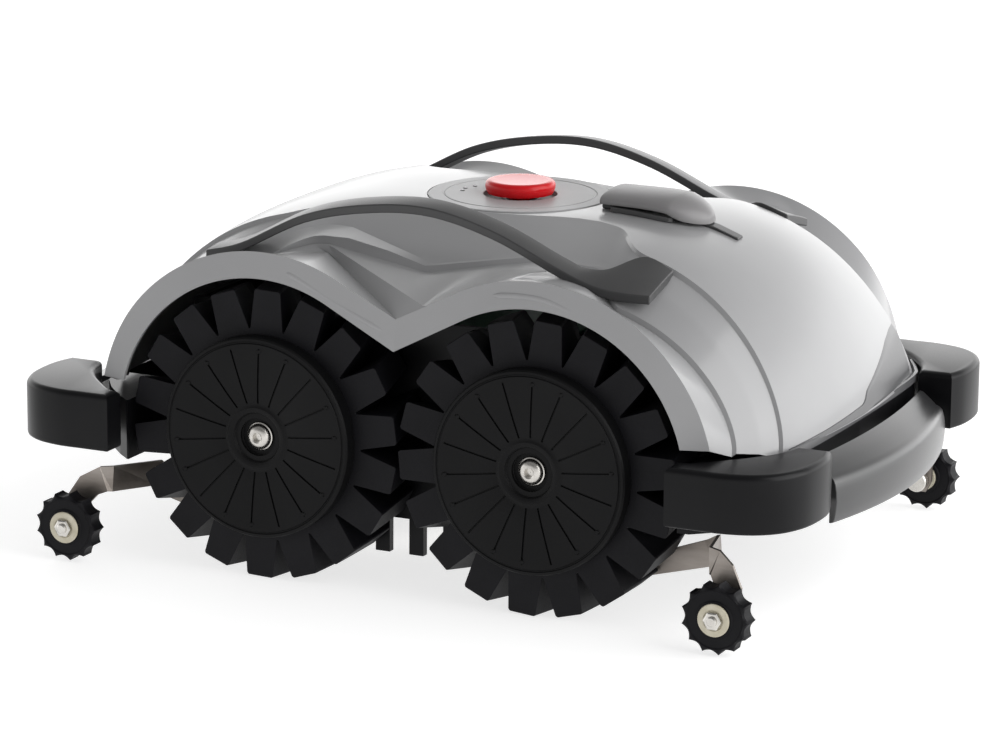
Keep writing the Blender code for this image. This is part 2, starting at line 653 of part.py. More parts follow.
def make_guide_arm(place, end, side):
    """Steel strip: upright plate under the tub, a joggle out past the tyre, and a leg down to the wheel."""
    half, thick = ARM_WIDTH / 2, ARM_THICK / 2
    near, far, bend = ARM_Y_INNER / MM, ARM_Y_OUTER / MM, JOGGLE_X[end] / MM
    hub_x, hub_z = GUIDE_X / MM, GUIDE_Z / MM
    # x, y, z of the strip's middle, the tilt of its width in the upright plane, and the turn of its face
    path = [(112.0, near, 19.0, 20.0, 0.0), (bend - 13.0, near, 28.0 + 0.37 * (bend - 158.0), 20.0, 0.0),
            (bend - 6.0, near + 2.5, 43.0, 12.0, 45.0), (bend + 4.0, far - 2.5, 47.0, 4.0, 50.0),
            (bend + 8.0, far, 47.0, -20.0, 0.0), (blend(bend + 8.0, hub_x, 0.62), far, 42.0, -50.0, 0.0),
            (hub_x + 1.0, far, 33.0, -78.0, 0.0), (hub_x + 0.4, far, hub_z, -92.0, 0.0),
            (hub_x, far, hub_z - 7.0, -90.0, 0.0)]
    rings = []
    for k, (x, y, z, tilt, turn) in enumerate(path):
        lean, face = math.radians(tilt), math.radians(turn)
        narrow = 0.62 if k in (0, len(path) - 1) else 1.0
        across = Vector((-math.sin(lean) * math.cos(face), -math.sin(lean) * math.sin(face), math.cos(lean)))
        normal = Vector((-math.sin(face), math.cos(face), 0.0))
        middle = Vector((x * MM, y * MM, z * MM))
        ring = []
        for a, b in ((1, 1), (1, -1), (-1, -1), (-1, 1)):
            corner = middle + across * half * narrow * a + normal * thick * b
            ring.append((end * corner.x, side * corner.y, corner.z))
        rings.append(ring)
    arm = solid("guide_arm_" + place, *loft(rings), MATERIALS["bare_steel"])
    low, high = sorted((side * 148.0 * MM, side * 156.0 * MM))
    hole = guide("arm_hole_" + place, *rod((end * GUIDE_X, 0, GUIDE_Z), "Y", 3.4 * MM, low, high, 12))
    combine(arm, hole, "DIFFERENCE")


# ---------------------------------------------------------------- blade

def make_blade():
    outline = []
    arms = 4
    for k in range(arms):
        centre = math.radians(45.0) + math.tau * k / arms
        for share, turn in ((0.26, -45.0), (0.60, -14.0), (0.98, -8.0), (1.0, -2.0), (0.84, 6.0), (0.56, 14.0)):
            angle = centre + math.radians(turn)
            outline.append((BLADE_RADIUS * share * math.cos(angle), BLADE_RADIUS * share * math.sin(angle)))
    blade = solid("blade", *extruded(outline, BLADE_BOTTOM, BLADE_TOP), MATERIALS["steel"])
    combine(blade, guide("blade_hole", *rod((0, 0, 0), "Z", 5.2 * MM, 10 * MM, 40 * MM, 12)), "DIFFERENCE")
    turned_pieces = (
        ("blade_hub", [(4.2, 23.8), (22.0, 23.8), (22.0, 28.0), (10.0, 31.0), (10.0, 58.0), (0.0, 58.0), (0.0, 36.0),
                       (4.2, 36.0)], "steel"),
        ("blade_screw", [(0.0, 16.5), (10.0, 16.5), (12.0, 18.0), (12.0, 20.7), (3.9, 20.7), (3.9, 35.4),
                         (0.0, 35.4)], "black_plastic"),
        ("blade_motor", [(10.6, 49.4), (33.0, 49.4), (34.0, 52.0), (34.0, 92.0), (28.0, 96.0), (0.0, 96.0),
                         (0.0, 60.0), (10.6, 60.0)], "motor_steel"))
    for name, profile, slot in turned_pieces:
        shape = [(r * MM, z * MM) for r, z in profile]
        solid(name, *turned(shape, (0, 0, 0), "Z", 16), MATERIALS[slot])


def build():
    make_shell()
    make_handle("left_handle", 1)
    make_handle("right_handle", -1)
    make_keypad()
    make_stop_button()
    make_button_spring()
    make_connector_base()
    make_connector_lid()
    make_chassis()
    make_deck("front_deck", 1)
    make_deck("rear_deck", -1)
    make_inner_pieces()
    make_blade()
    make_bumper("front_bumper", 1)
    make_bumper("rear_bumper", -1)
    for end_name, end in (("front", 1), ("rear", -1)):
        for side_name, side in (("left", 1), ("right", -1)):
            place = end_name + "_" + side_name
            make_corner(place + "_corner", end, side)
            make_drive_wheel(place, end, side)
            make_guide(place, end, side)


clear_scene()
surface = surface_finder()
MATERIALS = {
    "construction": material("construction", (0.5, 0.5, 0.5), 0.5),
    "silver_plastic": material("silver_plastic", (0.46, 0.46, 0.47), 0.25, 0.3),
    "grey_plastic": material("grey_plastic", (0.30, 0.30, 0.31), 0.45),
    "dark_plastic": material("dark_plastic", (0.09, 0.09, 0.095), 0.5),
    "black_plastic": material("black_plastic", (0.018, 0.018, 0.02), 0.4),
    "red_plastic": material("red_plastic", (0.62, 0.02, 0.025), 0.2),
    "rubber": material("rubber", (0.02, 0.02, 0.022), 0.75),
    "steel": material("steel", (0.62, 0.61, 0.58), 0.3, 1.0),
    "bare_steel": material("bare_steel", (0.42, 0.38, 0.34), 0.38, 1.0),
    "spring_steel": material("spring_steel", (0.5, 0.5, 0.5), 0.35, 1.0),
    "motor_steel": material("motor_steel", (0.35, 0.35, 0.36), 0.4, 0.9),
    "bush_nylon": material("bush_nylon", (0.62, 0.58, 0.46), 0.45),
    "blue_wrap": material("blue_wrap", (0.05, 0.12, 0.35), 0.5),
    "board_green": material("board_green", (0.02, 0.16, 0.07), 0.5),
}
build()
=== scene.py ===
"""Robotic lawn mower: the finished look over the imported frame. Metres, +X forward, +Y left, +Z up."""
import math

import bmesh
import bpy
from mathutils import Matrix, Vector
from mathutils.bvhtree import BVHTree


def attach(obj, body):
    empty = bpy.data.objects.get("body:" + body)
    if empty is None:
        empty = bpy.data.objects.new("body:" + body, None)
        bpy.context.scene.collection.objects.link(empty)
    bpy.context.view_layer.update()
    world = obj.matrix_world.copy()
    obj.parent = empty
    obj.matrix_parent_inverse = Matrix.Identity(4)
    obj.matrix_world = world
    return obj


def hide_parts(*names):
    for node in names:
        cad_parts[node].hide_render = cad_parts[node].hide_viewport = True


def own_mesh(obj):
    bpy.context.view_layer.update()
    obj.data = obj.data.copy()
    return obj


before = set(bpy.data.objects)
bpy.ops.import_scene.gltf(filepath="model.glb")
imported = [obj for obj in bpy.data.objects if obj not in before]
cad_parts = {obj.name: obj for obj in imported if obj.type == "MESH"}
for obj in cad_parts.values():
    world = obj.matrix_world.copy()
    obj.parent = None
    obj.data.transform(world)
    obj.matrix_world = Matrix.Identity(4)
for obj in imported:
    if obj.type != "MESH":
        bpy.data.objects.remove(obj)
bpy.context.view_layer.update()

MM = 0.001
ROOT = "frame_body"
ENDS = (("front", 1), ("rear", -1))
SIDES = (("left", 1), ("right", -1))
PLACES = [(end_name + "_" + side_name, end, side) for end_name, end in ENDS for side_name, side in SIDES]

# ---------------------------------------------------------------- camera

AZIMUTH, ELEVATION, ROLL = math.radians(25.202), math.radians(13.833), math.radians(0.447)
DISTANCE, LENS, SENSOR = 2.52289, 154.659, 36.0
TARGET = Vector((-0.00614, 0.0, 0.09539))


def make_camera():
    """Camera where a fit to the photo's wheels, corners and straps puts it."""
    data = bpy.data.cameras.new("camera")
    data.lens, data.sensor_width = LENS, SENSOR
    camera = bpy.data.objects.new("camera", data)
    bpy.context.scene.collection.objects.link(camera)
    back = Vector((math.sin(AZIMUTH) * math.cos(ELEVATION), -math.cos(AZIMUTH) * math.cos(ELEVATION),
                   math.sin(ELEVATION)))
    right = Vector((math.cos(AZIMUTH), math.sin(AZIMUTH), 0.0))
    up = back.cross(right)
    side = right * math.cos(ROLL) + up * math.sin(ROLL)
    top = up * math.cos(ROLL) - right * math.sin(ROLL)
    place = TARGET + back * DISTANCE
    camera.matrix_world = Matrix(((side.x, top.x, back.x, place.x), (side.y, top.y, back.y, place.y),
                                  (side.z, top.z, back.z, place.z), (0, 0, 0, 1)))
    bpy.context.scene.camera = camera


make_camera()


def outside_of(name):
    """Search tree over the outside of a CAD node."""
    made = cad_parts[name]
    points = [made.matrix_world @ v.co for v in made.data.vertices]
    return BVHTree.FromPolygons(points, [tuple(p.vertices) for p in made.data.polygons])


SHELL = outside_of("shell")


def shell_height(x, y):
    """Height of the shell's outside at a plan point."""
    spot = SHELL.ray_cast(Vector((x, y, 1.0)), Vector((0.0, 0.0, -1.0)))[0]
    return spot.z if spot else 0.0


# ---------------------------------------------------------------- materials


def node(tree, kind, **inputs):
    """New shader node with values set on its own sockets."""
    made = tree.nodes.new(kind)
    for key, value in inputs.items():
        made.inputs[key.replace("_", " ")].default_value = value
    return made


RELIEF = 0.3 * MM                            # height of the fine surface grain


def surface_material(name, dark, light, rough, spread=0.04, metallic=0.0, grain=900.0, bump=0.08,
                     coat=0.0, coat_rough=0.1, blotch=18.0, stretch=None, specular=0.5):
    """Colour drifts between two tones in soft blotches; roughness and a fine bump come from grain noise."""
    mat = bpy.data.materials.new(name)
    mat.use_nodes = True
    tree = mat.node_tree
    shader = tree.nodes["Principled BSDF"]
    shader.inputs["Metallic"].default_value = metallic
    shader.inputs["Coat Weight"].default_value = coat
    shader.inputs["Coat Roughness"].default_value = coat_rough
    shader.inputs["Specular IOR Level"].default_value = specular
    coords = tree.nodes.new("ShaderNodeTexCoord")
    mapping = tree.nodes.new("ShaderNodeMapping")
    if stretch:
        mapping.inputs["Scale"].default_value = stretch
    tree.links.new(coords.outputs["Object"], mapping.inputs["Vector"])
    big = node(tree, "ShaderNodeTexNoise", Scale=blotch, Detail=4.0, Roughness=0.55)
    fine = node(tree, "ShaderNodeTexNoise", Scale=grain, Detail=2.0, Roughness=0.6)
    tree.links.new(mapping.outputs["Vector"], big.inputs["Vector"])
    tree.links.new(mapping.outputs["Vector"], fine.inputs["Vector"])
    tone = tree.nodes.new("ShaderNodeValToRGB")
    tone.color_ramp.elements[0].position, tone.color_ramp.elements[1].position = 0.3, 0.7
    tone.color_ramp.elements[0].color = (*dark, 1.0)
    tone.color_ramp.elements[1].color = (*light, 1.0)
    tree.links.new(big.outputs["Fac"], tone.inputs["Fac"])
    tree.links.new(tone.outputs["Color"], shader.inputs["Base Color"])
    gloss = tree.nodes.new("ShaderNodeMapRange")
    gloss.inputs["To Min"].default_value = rough - spread
    gloss.inputs["To Max"].default_value = rough + spread
    tree.links.new(fine.outputs["Fac"], gloss.inputs["Value"])
    tree.links.new(gloss.outputs["Result"], shader.inputs["Roughness"])
    relief = node(tree, "ShaderNodeBump", Strength=bump, Distance=RELIEF)
    tree.links.new(fine.outputs["Fac"], relief.inputs["Height"])
    tree.links.new(relief.outputs["Normal"], shader.inputs["Normal"])
    return mat


MATERIALS = {
    "silver": surface_material("silver_plastic", (0.262, 0.262, 0.267), (0.29, 0.29, 0.295), 0.3, 0.02,
                               grain=2600.0, bump=0.015, coat=0.3, coat_rough=0.12, blotch=9.0,
                               specular=0.42),
    # Darker copy of the silver: painted shade on the nose band and the strip below the bonnet's lower edge.
    "nose": surface_material("silver_plastic_painted_shade", (0.075, 0.075, 0.078), (0.09, 0.09, 0.093), 0.34, 0.02,
                             grain=2600.0, bump=0.015, coat=0.15, coat_rough=0.15, blotch=9.0),
    "keypad": surface_material("grey_plastic", (0.31, 0.31, 0.315), (0.35, 0.35, 0.355), 0.42, 0.05,
                               grain=1600.0, bump=0.08),
    "dark": surface_material("dark_plastic", (0.034, 0.034, 0.035), (0.046, 0.046, 0.047), 0.36, 0.05,
                             grain=1800.0, bump=0.12),
    "cap": surface_material("cap_plastic", (0.16, 0.156, 0.158), (0.19, 0.186, 0.188), 0.4, 0.05,
                            grain=1800.0, bump=0.08),
    "black": surface_material("black_plastic", (0.0035, 0.0035, 0.0042), (0.006, 0.006, 0.0068), 0.32, 0.04,
                              grain=1500.0, bump=0.06, specular=0.16),
    "bumper": surface_material("bumper_plastic", (0.02, 0.02, 0.021), (0.028, 0.028, 0.029), 0.3, 0.04,
                               grain=1500.0, bump=0.04, coat=0.35, coat_rough=0.2),
    "cover": surface_material("wheel_plastic", (0.0034, 0.0034, 0.0037), (0.0056, 0.0056, 0.006), 0.5, 0.05,
                              grain=1500.0, bump=0.12, specular=0.13),
    "rubber": surface_material("rubber", (0.0035, 0.0034, 0.0046), (0.0062, 0.006, 0.0078), 0.55, 0.08,
                               grain=1200.0, bump=0.25, blotch=40.0, specular=0.16),
    "red": surface_material("red_plastic", (0.5, 0.006, 0.010), (0.58, 0.010, 0.014), 0.2, 0.03,
                            grain=1800.0, bump=0.03, specular=0.22),
    "steel": surface_material("steel", (0.55, 0.53, 0.5), (0.68, 0.66, 0.62), 0.26, 0.08, metallic=1.0,
                              grain=1200.0, bump=0.1, blotch=120.0),
    "strip": surface_material("bare_steel", (0.2, 0.175, 0.155), (0.34, 0.31, 0.285), 0.4, 0.1, metallic=1.0,
                              grain=500.0, bump=0.15, blotch=30.0, stretch=(0.4, 1.0, 2.4)),
    "wire": surface_material("spring_steel", (0.4, 0.4, 0.4), (0.5, 0.5, 0.5), 0.3, 0.05, metallic=1.0),
    "motor": surface_material("motor_steel", (0.25, 0.25, 0.26), (0.33, 0.33, 0.34), 0.38, 0.06,
                              metallic=0.9),
    "bush": surface_material("bush_nylon", (0.46, 0.42, 0.31), (0.6, 0.56, 0.45), 0.42, 0.08, bump=0.1,
                             blotch=150.0),
    "wrap": surface_material("blue_wrap", (0.04, 0.1, 0.3), (0.06, 0.13, 0.38), 0.4, 0.05),
    "board": surface_material("board_green", (0.015, 0.14, 0.06), (0.03, 0.18, 0.08), 0.45, 0.05),
    "lamp": surface_material("lamp_window", (0.01, 0.01, 0.01), (0.02, 0.02, 0.02), 0.25, 0.03),
}

# ---------------------------------------------------------------- mesh helpers


WELD = 0.002 * MM                            # points closer than this become one


def blend(low, high, share):
    """The value a share of the way from low to high."""
    return low + (high - low) * share


def smoothstep(value, low, high):
    """0 below low, 1 above high, and a soft rise between."""
    share = min(max((value - low) / (high - low), 0.0), 1.0)
    return share * share * (3.0 - 2.0 * share)


def piece(name, points, faces, look, body=ROOT, replaces=(), smooth=30.0, bevel=0.0, segments=2,
          angle=25.0):
    """A finished mesh piece that rides on a body and stands for the CAD nodes it replaces."""
    mesh = bpy.data.meshes.new(name)
    mesh.from_pydata([Vector(p) for p in points], [], faces)
    mesh.materials.append(MATERIALS[look])
    work = bmesh.new()
    work.from_mesh(mesh)
    bmesh.ops.remove_doubles(work, verts=work.verts, dist=WELD)
    bmesh.ops.recalc_face_normals(work, faces=work.faces)
    work.to_mesh(mesh)
    work.free()
    mesh.shade_smooth()
    made = bpy.data.objects.new(name, mesh)
    bpy.context.scene.collection.objects.link(made)
    finish_edges(made, smooth, bevel, segments, angle)
    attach(made, body)
    if replaces:
        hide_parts(*replaces)
    return made


def soften(made, width, segments, angle):
    """Bevel on every edge sharper than the angle, in degrees."""
    edge = made.modifiers.new("edges", "BEVEL")
    edge.width = width
    edge.segments = segments
    edge.limit_method = "ANGLE"
    edge.angle_limit = math.radians(angle)
    return edge


def finish_edges(made, smooth, bevel, segments, angle):
    """Edges sharper than the smooth angle stay hard; a bevel, if any, is shaded with its faces."""
    made.data.set_sharp_from_angle(angle=math.radians(smooth))
    if bevel:
        soften(made, bevel, segments, angle).harden_normals = True


def loft(rings, closed_ends=True, closed_rings=True):
    """Points and faces of a skin through rings of equally many points."""
    count = len(rings[0])
    points = [p for ring in rings for p in ring]
    faces = []
    for row in range(len(rings) - 1):
        for k in range(count if closed_rings else count - 1):
            after = (k + 1) % count
            here, there = row * count, (row + 1) * count
            faces.append((here + k, here + after, there + after, there + k))
    if closed_ends:
        last = (len(rings) - 1) * count
        faces.append(tuple(range(count)))
        faces.append(tuple(range(last, last + count)))
    return points, faces


def turned(profile, centre, axis, segments=48):
    """A closed (radius, height) profile in metres turned about an axis through centre."""
    rings = []
    for step in range(segments):
        turn = math.tau * step / segments
        ring = []
        for radius, height in profile:
            a, b = radius * math.cos(turn), radius * math.sin(turn)
            if axis == "Y":
                ring.append((centre[0] + a, centre[1] + height, centre[2] + b))
            else:
                ring.append((centre[0] + a, centre[1] + b, centre[2] + height))
        rings.append(ring)
    rings.append(rings[0])
    return loft(rings, closed_ends=False)


def in_metres(profile, way=1.0):
    """A (radius, height) profile given in millimetres, its heights turned to one side."""
    return [(radius * MM, way * height * MM) for radius, height in profile]


def merged(parts):
    """Several (points, faces) pairs as one."""
    points, faces = [], []
    for some_points, some_faces in parts:
        shift = len(points)
        points += some_points
        faces += [tuple(k + shift for k in face) for face in some_faces]
    return points, faces


def curve_through(points, steps):
    """Catmull-Rom points through the given points."""
    result = []
    ends = [points[0]] + list(points) + [points[-1]]
    for k in range(len(points) - 1):
        quads = list(zip(*ends[k:k + 4]))
        for step in range(steps):
            t = step / steps
            result.append(tuple(
                0.5 * (2 * q + (r - p) * t + (2 * p - 5 * q + 4 * r - s) * t * t
                       + (3 * q - p - 3 * r + s) * t ** 3)
                for p, q, r, s in quads))
    result.append(tuple(points[-1]))
    return result


def along(points, x):
    """Values at x on a line through points of (x, value, ...)."""
    if x <= points[0][0]:
        return points[0][1:]
    for one, two in zip(points, points[1:]):
        if x <= two[0]:
            share = (x - one[0]) / (two[0] - one[0])
            return tuple(blend(a, b, share) for a, b in zip(one[1:], two[1:]))
    return points[-1][1:]


def inward(outline, distance):
    """A closed plan outline moved in by a distance."""
    count = len(outline)
    area = sum(outline[k][0] * outline[(k + 1) % count][1] - outline[(k + 1) % count][0] * outline[k][1]
               for k in range(count))
    way = 1.0 if area > 0 else -1.0
    result = []
    for k in range(count):
        before, here, after = (Vector(outline[j % count][:2]) for j in (k - 1, k, k + 1))
        one, two = (here - before), (after - here)
        if one.length < 1e-9 or two.length < 1e-9:
            result.append(tuple(here))
            continue
        one, two = one.normalized(), two.normalized()
        normal = Vector((-one.y - two.y, one.x + two.x)).normalized() * way
        spread = max(normal.dot(Vector((-one.y, one.x)) * way), 0.5)
        result.append(tuple(here + normal * distance / spread))
    return result


# ---------------------------------------------------------------- shell

WHEEL_X, WHEEL_Z = 84.5 * MM, 84.2 * MM      # hub of the front left wheel
FLAT_X, TOP_Z, SKIN = 40.0 * MM, 205.0 * MM, 2.4 * MM
SHOULDER_DROP, VALLEY_TOP, VALLEY_END = 3.0 * MM, 181.0 * MM, 103.0 * MM
ARCH_RADIUS, CREST_RADIUS, V_ANGLE = 91.0 * MM, 106.0 * MM, math.radians(28.0)
LIP_V, CREST_V = 142.5 * MM, 160.5 * MM      # height of the lip and the crest between the wheels
LIP_Y, CREST_Y, CREST_END_Y = 152.0 * MM, 149.5 * MM, 147.0 * MM
EDGE_Z, FENDER_END_Z = 98.0 * MM, 107.0 * MM
FRONT_END = (222.0 * MM, 213.0 * MM, 197.0 * MM)         # ends of the centre, shoulder and valley rails
REAR_END = (208.0 * MM, 202.0 * MM, 190.0 * MM)
FRONT_STEP = Vector((0.8, 1.4, -3.6)) * MM               # from the upper to the lower side of a crease
REAR_STEP = Vector((0.8, 1.4, -3.0)) * MM
END_STEP = Vector((2.0, 1.6, -1.6)) * MM
SHELL_STEPS = 110                            # mesh rows from the middle to either end
PANEL_X = 6.0 * MM                           # middle of the keypad


def crown_height(x, end_x, top, end_z):
    """Height of the domed top at x: level in the middle, then a steepening fall to end_z."""
    share = min(max((abs(x) - FLAT_X) / (end_x - FLAT_X), 0.0), 1.0)
    return end_z + (top - end_z) * (1.0 - share ** 3) ** (2.0 / 3.0)


def crown_rail(f, end_x, top, end_z, half_middle, half_end):
    """Point at fraction f of a lengthwise rail over the dome."""
    x = end_x * math.sin(f * math.pi / 2) ** 0.86
    return x, blend(half_middle, half_end, f ** 2), crown_height(x, end_x, top, end_z)


def arch_rail(f, radius, v_height, end_z, y, y_end):
    """Point at fraction f of a rail that climbs out of the V between the wheels and round the arch."""
    leave = (WHEEL_X - radius * math.sin(V_ANGLE), WHEEL_Z + radius * math.cos(V_ANGLE))
    straight = math.hypot(leave[0], leave[1] - v_height)
    end_angle = math.acos((end_z - WHEEL_Z) / radius)
    total = straight + radius * (V_ANGLE + end_angle)
    reach = f * total
    if reach < straight:
        x = leave[0] * reach / straight
        z = blend(v_height, leave[1], reach / straight)
    else:
        turn = (reach - straight) / radius - V_ANGLE
        x, z = WHEEL_X + radius * math.sin(turn), WHEEL_Z + radius * math.cos(turn)
    return x, blend(y, y_end, smoothstep(f, 0.75, 1.0)), z


# Creases of the flank between the wheels, in millimetres: x, distance out, height
FLANK = {
    "shoulder": [(-95, 62, 202.0), (-60, 57, 203.5), (0, 55, 204.4), (20, 54, 204.5), (35, 50.5, 204.4),
                 (50, 46, 204.3), (62, 43.5, 204.0), (75, 43, 203.4), (88, 47, 202.5), (100, 55, 201.3),
                 (112, 66, 199.4), (124, 77, 197.0)],
    "upper": [(-100, 74, 193.6), (-63, 78, 193.2), (-1, 100, 182.3), (36, 90, 187.3), (53, 86, 189.6),
              (100, 85, 188.0)],
    "ledge": [(-100, 98, 191.0), (-56, 97, 191.1), (-30, 99.5, 187.0), (-5, 102.5, 181.2), (0, 102, 181.8),
              (37, 91.5, 186.9), (54, 87.5, 189.2), (100, 88, 187.0)],
    "foot": [(-100, 99, 186.4), (-66, 100, 187.0), (-3, 105, 178.0), (2, 104.4, 178.6), (38, 94, 184.4),
             (56, 90, 186.8), (100, 92, 184.5)],
    "wall": [(-100, 104, 186.0), (-66, 101, 186.8), (17.7, 149.0, 169.4), (56.0, 149.0, 185.4),
             (70.0, 118, 188.2), (100, 115, 183.5)],
    "inner": [(-100, 122, 183.6), (-66, 104, 183.5), (0.3, 149.2, 160.6), (57.0, 149.3, 186.2),
              (70.0, 134, 188.4), (100, 133, 184.0)],
}


def flank_share(x):
    """How far the flank's own creases take over from the rails at x."""
    return smoothstep(x, -108 * MM, -72 * MM) * (1.0 - smoothstep(x, 92 * MM, 122 * MM))


def section(f, ends, way, inset):
    """Rails across one half of the shell at fraction f from the middle to an end."""
    centre = crown_rail(f, ends[0] - inset, TOP_Z - inset, EDGE_Z, 0.0, 0.0)
    shoulder = crown_rail(f, ends[1] - inset, TOP_Z - SHOULDER_DROP - inset, EDGE_Z, 76.0 * MM,
                          104.0 * MM - inset)
    valley = crown_rail(f, ends[2] - inset, VALLEY_TOP - inset, VALLEY_END, 117.0 * MM, 131.0 * MM - inset)
    crest = arch_rail(f, CREST_RADIUS - inset, CREST_V - inset, FENDER_END_Z, CREST_Y - inset,
                      CREST_END_Y - inset)
    lip = arch_rail(f, ARCH_RADIUS, LIP_V, FENDER_END_Z, LIP_Y - inset, LIP_Y - inset)
    mid = tuple(blend(a, b, 0.5) for a, b in zip(shoulder, valley))
    sink = (FRONT_STEP if way > 0 else REAR_STEP) * (1.0 - 0.35 * (1.0 - f))
    sink = sink.lerp(END_STEP, smoothstep(f, 0.72, 1.0))
    shoulder_low = tuple(a + b for a, b in zip(shoulder, (-sink.x, sink.y, sink.z)))
    valley_low = tuple(a + b for a, b in zip(valley, (-sink.x, sink.y, sink.z)))
    valley_out = tuple(blend(a, b, 0.34) for a, b in zip(valley_low, crest))
    valley_far = tuple(blend(a, b, 0.7) for a, b in zip(valley_low, crest))
    rails = [shoulder, shoulder_low, mid, valley, valley_low, valley_out, valley_far]
    names = ["shoulder", None, "upper", "ledge", "foot", "wall", "inner"]
    done = []
    for rail, name in zip(rails, names):
        x = rail[0] * way
        share = flank_share(x)
        if name is None:
            one, two = along(FLANK["shoulder"], x / MM), along(FLANK["upper"], x / MM)
            target = tuple(blend(a, b, 0.12) for a, b in zip(one, two))
        else:
            target = along(FLANK[name], x / MM)
        y = blend(rail[1], target[0] * MM - inset, share)
        z = blend(rail[2], target[1] * MM - inset, share)
        done.append((rail[0], y, z))
    return [centre] + done + [crest, lip]


SPLITS = (12, 2, 8, 6, 2, 5, 5, 5, 5)        # mesh steps between one rail and the next
OPENING = 54.2 * MM                          # radius of the opening for the keypad


def half_row(f, ends, way, inset):
    """Mesh points from the centre line out to the lip at fraction f."""
    rails = section(f, ends, way, inset)
    row = []
    for k, count in enumerate(SPLITS):
        one, two = rails[k], rails[k + 1]
        for step in range(count):
            share = step / count
            if k == 0:
                row.append((blend(one[0], two[0], share ** 2), blend(one[1], two[1], share),
                            blend(one[2], two[2], share ** 3.2)))
            else:
                row.append(tuple(blend(a, b, share) for a, b in zip(one, two)))
    row.append(rails[-1])
    return row


def shell_rows(inset):
    """Rows of points across the whole shell, from the rear to the front."""
    rows = []
    for step in range(-SHELL_STEPS, SHELL_STEPS + 1):
        f = abs(step) / SHELL_STEPS
        ends, way = (FRONT_END, 1.0) if step >= 0 else (REAR_END, -1.0)
        half = half_row(f, ends, way, inset)
        left = [(way * x, y, z) for x, y, z in half]
        right = [(x, -y, z) for x, y, z in reversed(left[1:])]
        rows.append(right + left)
    return rows


def make_shell():
    """Skin of even thickness with its creases, arches and the round opening for the keypad."""
    outer, inner = shell_rows(0.0), shell_rows(SKIN)
    count = len(outer[0])
    points = [p for row in outer for p in row] + [p for row in inner for p in row]
    half = len(outer) * count
    faces, rim = [], {}
    for row in range(len(outer) - 1):
        for k in range(count - 1):
            a, b = row * count + k, (row + 1) * count + k
            corners = (a, a + 1, b + 1, b)
            if all(math.hypot(points[p][0] - PANEL_X, points[p][1]) <= OPENING for p in corners):
                continue
            faces.append(corners)
            faces.append((half + a, half + b, half + b + 1, half + a + 1))
            for pair in ((a, a + 1), (a + 1, b + 1), (b + 1, b), (b, a)):
                if rim.pop(pair[::-1], None) is None:
                    rim[pair] = True
    faces += [(two, one, half + one, half + two) for one, two in rim]
    for k in set(k for pair in rim for k in pair):
        for index in (k, k + half):
            p = points[index]
            away = Vector((p[0] - PANEL_X, p[1]))
            if away.length < OPENING:
                away = away.normalized() * OPENING
                points[index] = (PANEL_X + away.x, away.y, p[2])
    return piece("shell_skin", points, faces, "silver", replaces=["shell"], smooth=8.0)


SKIN_MESH = make_shell().data
SKIN_TREE = BVHTree.FromPolygons([v.co for v in SKIN_MESH.vertices],
                                 [tuple(p.vertices) for p in SKIN_MESH.polygons])

# ---------------------------------------------------------------- wheels

PADDLES, TYRE_RADIUS, TYRE_ROOT, TYRE_BORE = 18, 84.2 * MM, 61.5 * MM, 54.0 * MM
TYRE_OUTER_Y, TYRE_INNER_Y = 146.9 * MM, 113.5 * MM
PADDLE_PHASE = {1: math.radians(-5.0), -1: math.radians(-2.0)}
PADDLE_TWIST, TYRE_LAYERS = math.radians(6.0), 7
# Outline of one paddle: radius and distance across from its middle
PADDLE = [(TYRE_ROOT, -10.2 * MM), (TYRE_RADIUS - 1.0 * MM, -8.25 * MM), (TYRE_RADIUS, -7.4 * MM),
          (TYRE_RADIUS, 7.4 * MM), (TYRE_RADIUS - 1.0 * MM, 8.25 * MM), (TYRE_ROOT, 10.2 * MM)]


def tyre_mesh(end, side):
    """Ring with flat paddles, each twisted a little from its outer to its inner edge."""
    centre = Vector((end * WHEEL_X, 0.0, WHEEL_Z))
    rims, bores = [], []
    for layer in range(TYRE_LAYERS):
        share = layer / (TYRE_LAYERS - 1)
        y = side * blend(TYRE_OUTER_Y, TYRE_INNER_Y, share)
        rim, bore = [], []
        for k in range(PADDLES):
            middle = -math.pi / 2 + PADDLE_PHASE[end] + k * math.tau / PADDLES
            for radius, across in PADDLE:
                angle = middle + PADDLE_TWIST * share * (radius - TYRE_ROOT) / (TYRE_RADIUS - TYRE_ROOT)
                spoke = Vector((math.cos(angle), 0.0, math.sin(angle)))
                tangent = Vector((-math.sin(angle), 0.0, math.cos(angle)))
                p = centre + spoke * math.sqrt(radius ** 2 - across ** 2) + tangent * across
                rim.append((p.x, y, p.z))
                turn = middle + math.asin(across / TYRE_ROOT) * 0.98
                bore.append((centre.x + TYRE_BORE * math.cos(turn), y, centre.z + TYRE_BORE * math.sin(turn)))
        rims.append(rim)
        bores.append(bore)
    return loft([bores[0]] + rims + [bores[-1], bores[0]], closed_ends=False)


# Wheel cover, in millimetres: radius and distance out from the middle of the mower
COVER_FACE = [(8.6, 150.2), (11.0, 150.4), (12.6, 151.6), (14.6, 155.2), (16.0, 156.0), (17.4, 156.1),
              (18.6, 155.4), (20.0, 155.2), (20.6, 155.4), (30.0, 156.3), (40.0, 156.8), (50.0, 157.1),
              (51.5, 157.15), (52.2, 157.15), (54.4, 157.2), (54.9, 156.5), (55.4, 156.5), (55.9, 157.1),
              (57.2, 156.8), (58.0, 155.6), (58.0, 147.1)]
COVER_DRUM = [(11.0, 152.0), (50.7, 152.0), (50.7, 114.0), (53.7, 114.0), (53.7, 147.1), (58.0, 147.1),
              (58.0, 149.0), (52.0, 149.5), (52.0, 154.4), (11.0, 153.6)]
COVER_HUB = [(4.1, 150.0), (8.9, 150.0), (10.9, 150.2), (10.9, 119.0), (6.3, 119.0), (6.3, 140.3),
             (4.1, 140.3)]
